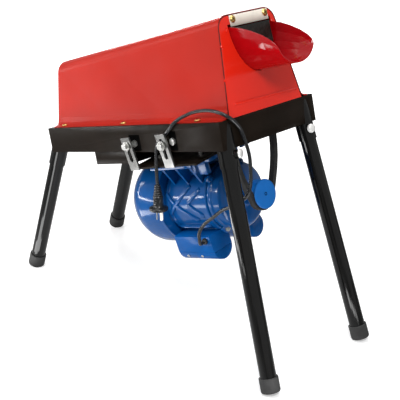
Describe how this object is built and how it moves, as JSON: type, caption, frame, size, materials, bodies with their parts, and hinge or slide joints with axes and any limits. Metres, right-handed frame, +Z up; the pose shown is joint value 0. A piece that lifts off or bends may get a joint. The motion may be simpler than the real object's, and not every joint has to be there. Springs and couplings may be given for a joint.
{
  "type": "electric corn sheller",
  "caption": "Electric maize sheller: sloping hood and feed scoop over a toothed drum, on a splayed tube stand with a belt-drive motor.",
  "frame": {"origin": "on the floor, at the centre of the bounding box's base", "axes": "+Z up; +X along the machine towards the feed scoop, level; +Y to the back of the machine, away from the side that shows the cord"},
  "size_m": [0.8235, 0.3374, 0.6714],
  "materials": {
    "hood_red": "gloss",
    "end_red": "gloss",
    "scoop_red": "gloss",
    "frame_black": "satin",
    "leg_black": "gloss",
    "cap_rubber": "matte",
    "zinc": "satin",
    "yellow_zinc": "satin",
    "strip_white": "satin",
    "bristle_black": "matte",
    "bare_steel": "satin",
    "cast_iron": "matte",
    "motor_blue": "gloss",
    "pulley_blue": "satin",
    "fan_black": "matte",
    "cord_black": "satin"
  },
  "bodies": {
    "stand": {"hood": "hood_red", "feed_end_cap": "end_red", "outlet_end_cap": "end_red", "scoop": "scoop_red", "rack": "frame_black", "socket_front_feed": "frame_black", "socket_front_outlet": "frame_black", "socket_rear_feed": "frame_black", "socket_rear_outlet": "frame_black", "kernel_chute": "frame_black", "leg_front_feed": "leg_black", "leg_front_outlet": "leg_black", "leg_rear_feed": "leg_black", "leg_rear_outlet": "leg_black", "foot_cap_front_feed": "cap_rubber", "foot_cap_front_outlet": "cap_rubber", "foot_cap_rear_feed": "cap_rubber", "foot_cap_rear_outlet": "cap_rubber", "belt": "cap_rubber", "clamp_bolt_front_feed": "zinc", "clamp_bolt_front_outlet": "zinc", "clamp_bolt_rear_feed": "zinc", "clamp_bolt_rear_outlet": "zinc", "window_bolt_1": "zinc", "window_bolt_2": "zinc", "tension_bolt_1": "zinc", "tension_bolt_2": "zinc", "hinge_pin": "zinc", "strip_screw_left": "yellow_zinc", "strip_screw_right": "yellow_zinc", "hood_screw_front_1": "yellow_zinc", "hood_screw_front_2": "yellow_zinc", "hood_screw_front_3": "yellow_zinc", "hood_screw_rear_1": "yellow_zinc", "hood_screw_rear_2": "yellow_zinc", "hood_screw_rear_3": "yellow_zinc", "brush_strip": "strip_white", "trough": "bare_steel", "bearing_feed": "cast_iron", "bearing_outlet": "cast_iron", "power_cord": "cord_black", "plug": "cord_black"},
    "rotor": {"drum": "cast_iron", "drum_shaft": "bare_steel", "drum_pulley": "cast_iron"},
    "motor_unit": {"motor_plate": "frame_black", "motor_housing": "motor_blue", "drive_end_bell": "motor_blue", "rear_end_bell": "motor_blue", "fan_cover": "motor_blue", "capacitor_box": "motor_blue", "capacitor_lid": "motor_blue", "run_capacitor_can": "motor_blue", "foot_bolt_1": "zinc", "foot_bolt_2": "zinc", "cord_grommet": "cap_rubber"},
    "motor_rotor": {"motor_shaft": "bare_steel", "cooling_fan": "fan_black", "motor_pulley": "pulley_blue"},
    "brush": {"brush": "bristle_black"}
  },
  "joints": [
    {"name": "rotor_spin", "type": "hinge", "parent": "stand", "child": "rotor", "pos_m": [-0.01723, -0.00749, 0.42807], "axis": [0.967, 0, 0.2548], "continuous": true},
    {"name": "motor_tension", "type": "hinge", "parent": "stand", "child": "motor_unit", "pos_m": [0.03419, 0.09751, 0.38991], "axis": [-0.9507, 0, -0.31], "range_deg": [0, 3], "deforming": ["belt", "power_cord"]},
    {"name": "motor_spin", "type": "hinge", "parent": "motor_unit", "child": "motor_rotor", "pos_m": [0.07414, -0.00757, 0.26738], "axis": [0.9507, 0, 0.31], "continuous": true},
    {"name": "brush_flex", "type": "hinge", "parent": "stand", "child": "brush", "pos_m": [0.18749, -0.00399, 0.64817], "axis": [0, 1, 0], "range_deg": [0, 60], "stiffness_Nm_per_rad": 0.08}
  ],
  "couplings": [
    {"joint": "motor_spin", "follows": "rotor_spin", "ratio": 2.0991}
  ]
}
